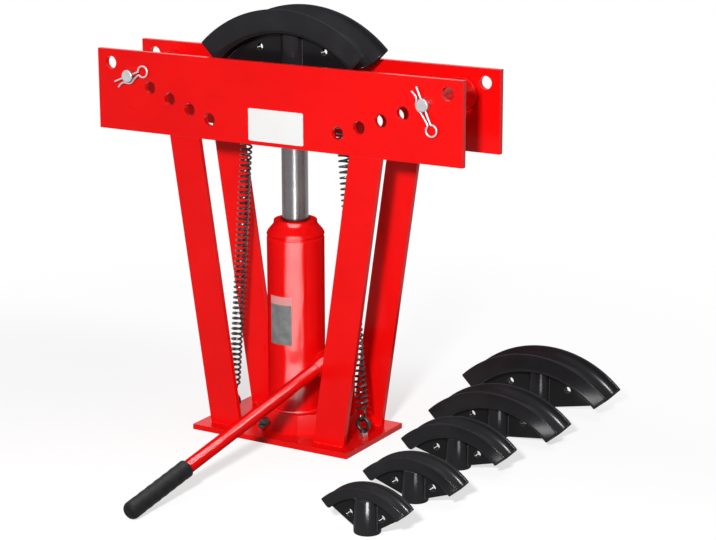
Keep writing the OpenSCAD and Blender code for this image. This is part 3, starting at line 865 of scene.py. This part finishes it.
class BENDER_OT_lever_grip(bpy.types.Operator):
    """Mould the rubber grip of the pump lever"""

    bl_idname = "bender.lever_grip"
    bl_label = "Lever grip"

    def execute(self, context):
        stand = (
            Matrix.Translation(Vector(LEVER_ROOT) * MM) @ Matrix.Rotation(math.radians(LEVER_SWING), 4, "Z")
            @ Matrix.Rotation(math.radians(LEVER_TILT), 4, "X")
        )
        bore, radius, foot, end, nose = 9.6, 12.5, 324.0, 440.0, 8.3
        waves, steps, pitch, depth = 6, 10, 15.0, 0.4
        outline = [(bore, foot), (radius - 0.9, foot), (radius - 0.1, foot + 0.8), (radius, foot + 2)]
        for k in range(waves * steps + 1):
            dip = 0.5 * depth * (1 - math.cos(TURN * k / steps))
            outline.append((radius - dip, foot + 6 + pitch * k / steps))
        outline += [
            (radius - nose + nose * math.cos(a), end - nose + nose * math.sin(a))
            for a in (math.radians(9 * k) for k in range(11))
        ]
        outline.append((0, end))
        bm = bmesh.new()
        turned(bm, outline, COARSE, stand)
        grip = finished("rubber_grip", bm, "lever", moulded_rubber(), sharp=60)
        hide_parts("handle_grip")
        return {"FINISHED"}


class BENDER_OT_bending_dies(bpy.types.Operator):
    """Cast the six bending dies with their grooved rims"""

    bl_idname = "bender.bending_dies"
    bl_label = "Bending dies"

    # Metal under the groove and beside it, and the groove's play round the pipe, in millimetres
    floor, lip, play = 5.0, 4.5, 0.35

    # Degrees of the bend that the rim runs through
    sweep = 90.0

    def execute(self, context):
        rounding = context.scene.bender_dies.rounding / MM
        boss, socket, depth = 18.0, 12.2, 29.0
        for name, (pipe, radius, height, web_foot) in DIES.items():
            bm = bmesh.new()
            # Marks the web's vertices for the painted shade where the web sits deep inside the rim.
            recess = bm.verts.layers.float.new("recess")
            centre = height - radius
            inner = radius - pipe / 2 - self.floor
            self.rim(bm, pipe, radius, inner, centre, rounding)
            self.web(bm, radius, inner, height, centre, web_foot, recess)
            top = centre + inner + 1
            verts = turned(
                bm, [(0, depth), (socket, depth), (socket, 0), (boss, 0), (boss, top), (0, top)], COARSE
            )
            soften(bm, verts, rounding, angle=40, segments=2)
            bmesh.ops.translate(bm, vec=die_foot(name), verts=bm.verts)
            body = "mounted_die" if name == MOUNTED_DIE else f"loose_{name}"
            cast = finished(f"{name}_casting", bm, body, cast_black(), sharp=32)
            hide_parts(name)
        return {"FINISHED"}

    def rim(self, bm, pipe, radius, inner, centre, rounding):
        half, groove = pipe / 2 + self.lip, pipe / 2 + self.play
        ease = (radius - inner) / 4
        fillet = [math.pi / 2 * k / 6 for k in range(7)]
        section = [(inner + ease * (1 - math.cos(a)), -half + ease * (1 - math.sin(a))) for a in fillet]
        section.append((radius, -half))
        section += [
            (radius - groove * math.sin(a), -groove * math.cos(a)) for a in (math.pi * k / 28 for k in range(29))
        ]
        section.append((radius, half))
        section += [
            (inner + ease * (1 - math.cos(a)), half - ease * (1 - math.sin(a))) for a in reversed(fillet)
        ]
        turn = Matrix.Rotation(math.radians(-0.5 * self.sweep), 3, "Y")
        axis = Vector((0, 0, centre)) * MM
        verts = [bm.verts.new(axis + turn @ (Vector((0, y, r)) * MM)) for r, y in section]
        lines = [bm.edges.new((verts[k - 1], verts[k])) for k in range(len(verts))]
        last = bmesh.ops.spin(
            bm, geom=verts + lines, cent=axis, axis=(0, 1, 0), angle=math.radians(self.sweep), steps=72
        )["geom_last"]
        bmesh.ops.edgeloop_fill(bm, edges=lines)
        bmesh.ops.edgeloop_fill(bm, edges=[g for g in last if isinstance(g, bmesh.types.BMEdge)])
        soften(bm, bm.verts, rounding, angle=50, segments=3)

    def web(self, bm, radius, inner, height, centre, foot, recess):
        thick, hole, root, reach = 10.0, 5.0, 16.0, inner + 2
        before = set(bm.verts)
        arc = [math.radians(self.sweep * (0.5 - k / 32)) for k in range(33)]
        outer = [(root, foot)] + [(reach * math.sin(a), centre + reach * math.cos(a)) for a in arc] + [(-root, foot)]
        loops = [outer]
        for side in (-1, 1):
            loops.append([
                (side * 0.28 * radius + hole * math.cos(a), 0.38 * height + hole * math.sin(a))
                for a in (TURN * k / 24 for k in range(24))
            ])
        lines = []
        for loop in loops:
            verts = [bm.verts.new(Vector((x, -0.5 * thick, z)) * MM) for x, z in loop]
            lines += [bm.edges.new((verts[k - 1], verts[k])) for k in range(len(verts))]
        made = bmesh.ops.triangle_fill(bm, use_beauty=True, use_dissolve=False, edges=lines)["geom"]
        faces = [g for g in made if isinstance(g, bmesh.types.BMFace)]
        far = bmesh.ops.extrude_face_region(bm, geom=faces, use_keep_orig=True)["geom"]
        bmesh.ops.translate(
            bm, vec=(0, thick * MM, 0), verts=[g for g in far if isinstance(g, bmesh.types.BMVert)]
        )
        made = [v for v in bm.verts if v not in before]
        faces = {face for v in made for face in v.link_faces}
        bmesh.ops.recalc_face_normals(bm, faces=list(faces))
        for v in made:
            v[recess] = 1.0


class BENDER_OT_stage(bpy.types.Operator):
    """Set the floor, the lamps, the white surroundings and the camera"""

    bl_idname = "bender.stage"
    bl_label = "Studio"

    def execute(self, context):
        self.floor(context)
        self.surroundings(context)
        self.lamps(context)
        self.camera(context)
        context.scene.view_settings.view_transform = "Standard"
        return {"FINISHED"}

    def floor(self, context):
        reach, setback = 14.0, 4.0
        bm = bmesh.new()
        bmesh.ops.create_grid(bm, x_segments=8, y_segments=8, size=reach)
        bmesh.ops.translate(bm, vec=(0, setback, 0), verts=bm.verts)
        mesh = bpy.data.meshes.new("studio_floor")
        bm.to_mesh(mesh)
        bm.free()
        floor = bpy.data.objects.new("studio_floor", mesh)
        context.scene.collection.objects.link(floor)
        mesh.materials.append(self.floor_finish(context))

    def floor_finish(self, context):
        """Pale paper that shows the part's shadow, and glows white away from the part and behind it: painted light
        that fades the shadow there.
        """
        f = Finish(bpy.data.materials.new("pale_floor"))
        distance = f.node("ShaderNodeVectorMath", {"operation": "LENGTH"}, {0: f.place}).outputs["Value"]
        away = Num(f, distance).between(0.42, 1.25)
        # Painted light: the floor's glow grows behind the part, fading the part's shadow there.
        behind = f.part("Y").between(0.10, 0.45)
        white = away + 0.75 * behind * (1.0 - away)
        seen = f.seen()
        shown = f.mix(f.noise(3.0, 3.0) * 0.3, context.scene.bender_stage.floor, (0.93, 0.93, 0.935))
        tone = f.mix(seen, (0.45, 0.45, 0.45), shown)
        matte = f.node("ShaderNodeBsdfDiffuse", None, {"Color": tone, "Roughness": 0.6})
        glow = f.node("ShaderNodeEmission", None, {"Color": (1, 1, 1), "Strength": 1.0})
        share = (0.66 + 0.34 * white) * seen
        mixed = f.node("ShaderNodeMixShader", None, {0: share, 1: matte.outputs[0], 2: glow.outputs[0]})
        f.node("ShaderNodeOutputMaterial", None, {"Surface": mixed.outputs[0]})
        return f.owner

    def surroundings(self, context):
        """Makes the world white to the eye and dim as a lamp."""
        world = bpy.data.worlds.new("white_room")
        context.scene.world = world
        f = Finish(world)
        dim = f.node("ShaderNodeBackground", None, {"Color": (1, 1, 1), "Strength": 0.12})
        white = f.node("ShaderNodeBackground", None, {"Color": (1, 1, 1), "Strength": 1.0})
        mixed = f.node("ShaderNodeMixShader", None, {0: f.seen(), 1: dim.outputs[0], 2: white.outputs[0]})
        f.node("ShaderNodeOutputWorld", None, {"Surface": mixed.outputs[0]})

    def lamps(self, context):
        """Hangs the soft boxes, and lays cards on the floor for the strips of gloss."""
        named = frame["nodes"] | {piece.name: piece for piece in context.scene.objects if piece.type == "MESH"}
        whole = [piece for name, piece in named.items() if name != "studio_floor"]
        jack = [named[name] for name in ("tank_skin", "domed_head", "tank_weld", "jack_base")]
        dies = [named[f"{name}_casting"] for name in DIES]
        lever = [named[name] for name in LEVER]
        grip = [named["rubber_grip"]]
        middle, die_row, lever_middle = (0.0, 0.0, 0.30), (0.37, -0.15, 0.06), (0.04, -0.22, 0.07)

        # Name, place, aim, width and height, watts, pieces lit (none for all), kind of light, shadows
        boxes = (
            ("key_box", (0.95, -2.21, 1.27), middle, (0.22, 0.22), 62.0, (), "all", True),
            ("top_box", (0.3, 0.2, 2.6), (0.1, 0.0, 0.2), (1.6, 1.6), 12.0, (), "all", True),
            ("back_box", (-1.1, 2.1, 1.1), middle, (1.0, 1.0), 36.0, whole, "matte", True),
            ("jack_card", (0.61, -1.37, 0.90), (0.0, 0.0, 0.90), (1.5, 1.6), 310.0, jack, "gloss", True),
            ("die_back_card", (1.21, 1.50, 0.81), die_row, (0.5, 0.4), 45.0, dies, "gloss", True),
            ("lever_card", (0.526, 0.432, 1.78), lever_middle, (2.0, 2.0), 850.0, lever, "gloss", False),
            ("grip_card", (0.04, -0.18, 1.62), (0.017, -0.371, 0.027), (0.9, 0.35), 60.0, grip, "gloss", True),
        )
        for box in boxes:
            self.lamp(context, *box)

        origin = (0.0, 0.0)
        edges = (0.22, 0.38, 0.62, 1.0, 1.6, 2.8)
        for k, (near, far) in enumerate(zip(edges, edges[1:])):
            wide = 0.62 * (near + far)
            self.floor_card(context, f"tank_card_{k}", origin, 24.0, (near, far), wide, 42.0, jack, False)
        self.floor_card(context, "ram_card", origin, 29.0, (0.70, 2.40), 0.22, 24.0, [named["ram"]])
        for name in DIES:
            if name != MOUNTED_DIE:
                glow = 110.0 if name == "die_dn15" else 24.0
                cast = [named[f"{name}_casting"]]
                self.floor_card(context, f"{name}_card", die_foot(name), 30.5, (0.09, 0.28), 0.035, glow, cast)

    def lamp(self, context, name, at, aim, size, watts, pieces=(), rays="all", shadow=True):
        """Hangs a soft box. It can be kept to some pieces, and to their matte or their glossy light."""
        lamp = bpy.data.lights.new(name, "AREA")
        lamp.shape = "RECTANGLE"
        lamp.size, lamp.size_y = size
        lamp.energy = watts
        lamp.use_shadow = shadow
        holder = bpy.data.objects.new(name, lamp)
        holder.location = at
        holder.rotation_euler = (Vector(aim) - Vector(at)).to_track_quat("-Z", "Y").to_euler()
        holder.visible_camera = False
        holder.visible_diffuse = rays != "gloss"
        holder.visible_glossy = rays != "matte"
        context.scene.collection.objects.link(holder)
        if pieces:
            lit = bpy.data.collections.new(f"{name}_lit")
            for piece in pieces:
                lit.objects.link(piece)
            holder.light_linking.receiver_collection = lit
        return holder

    def floor_card(self, context, name, foot, way, reach, spread, glow, pieces, shadow=True):
        """Lays a shining card on the floor in front of a piece, at an angle from the front, for a strip of gloss."""
        lift = 0.004
        length = reach[1] - reach[0]
        middle = 0.5 * (reach[0] + reach[1])
        turn = math.radians(way)
        at = (foot[0] + middle * math.sin(turn), foot[1] - middle * math.cos(turn), lift)
        watts = glow * math.pi * length * spread
        card = self.lamp(context, name, at, (at[0], at[1], 1.0), (spread, length), watts, pieces, "gloss", shadow)
        card.rotation_euler = (math.pi, 0, turn)

    def camera(self, context):
        lens = bpy.data.cameras.new("photo_camera")
        lens.sensor_fit = "HORIZONTAL"
        lens.sensor_width = 36.0
        lens.lens = context.scene.bender_stage.focal
        lens.clip_end = 100.0
        holder = bpy.data.objects.new("photo_camera", lens)
        at = (1.5620, -2.4496, 0.9919)
        turn, tilt, roll = math.radians(30.76), math.radians(14.51), math.radians(-0.158)
        holder.matrix_world = (
            Matrix.Translation(at) @ Matrix.Rotation(turn, 4, "Z")
            @ Matrix.Rotation(math.radians(90) - tilt, 4, "X") @ Matrix.Rotation(roll, 4, "Z")
        )
        context.scene.collection.objects.link(holder)
        context.scene.camera = holder


PIECES = (
    BENDER_OT_paint_frame, BENDER_OT_bare_steel, BENDER_OT_jack_tank, BENDER_OT_weld_beads, BENDER_OT_labels,
    BENDER_OT_return_springs, BENDER_OT_pin_clips, BENDER_OT_lever_grip, BENDER_OT_bending_dies, BENDER_OT_stage,
)


class BENDER_PT_sidebar(bpy.types.Panel):
    """The bender's pieces and looks"""

    bl_idname = "BENDER_PT_sidebar"
    bl_label = "Pipe bender"
    bl_space_type = "VIEW_3D"
    bl_region_type = "UI"
    bl_category = "Bender"

    def draw(self, context):
        for key, group in LOOKS:
            box = self.layout.box()
            for prop in group.__annotations__:
                box.prop(getattr(context.scene, key), prop)
        for piece in PIECES:
            self.layout.operator(piece.bl_idname)


def register():
    for key, group in LOOKS:
        bpy.utils.register_class(group)
        setattr(bpy.types.Scene, key, bpy.props.PointerProperty(type=group))
    for piece in PIECES:
        bpy.utils.register_class(piece)
    bpy.utils.register_class(BENDER_PT_sidebar)


def unregister():
    bpy.utils.unregister_class(BENDER_PT_sidebar)
    for piece in reversed(PIECES):
        bpy.utils.unregister_class(piece)
    for key, group in reversed(LOOKS):
        delattr(bpy.types.Scene, key)
        bpy.utils.unregister_class(group)


def main():
    register()
    for piece in PIECES:
        group, name = piece.bl_idname.split(".")
        getattr(getattr(bpy.ops, group), name)()


if __name__ == "__main__":
    main()
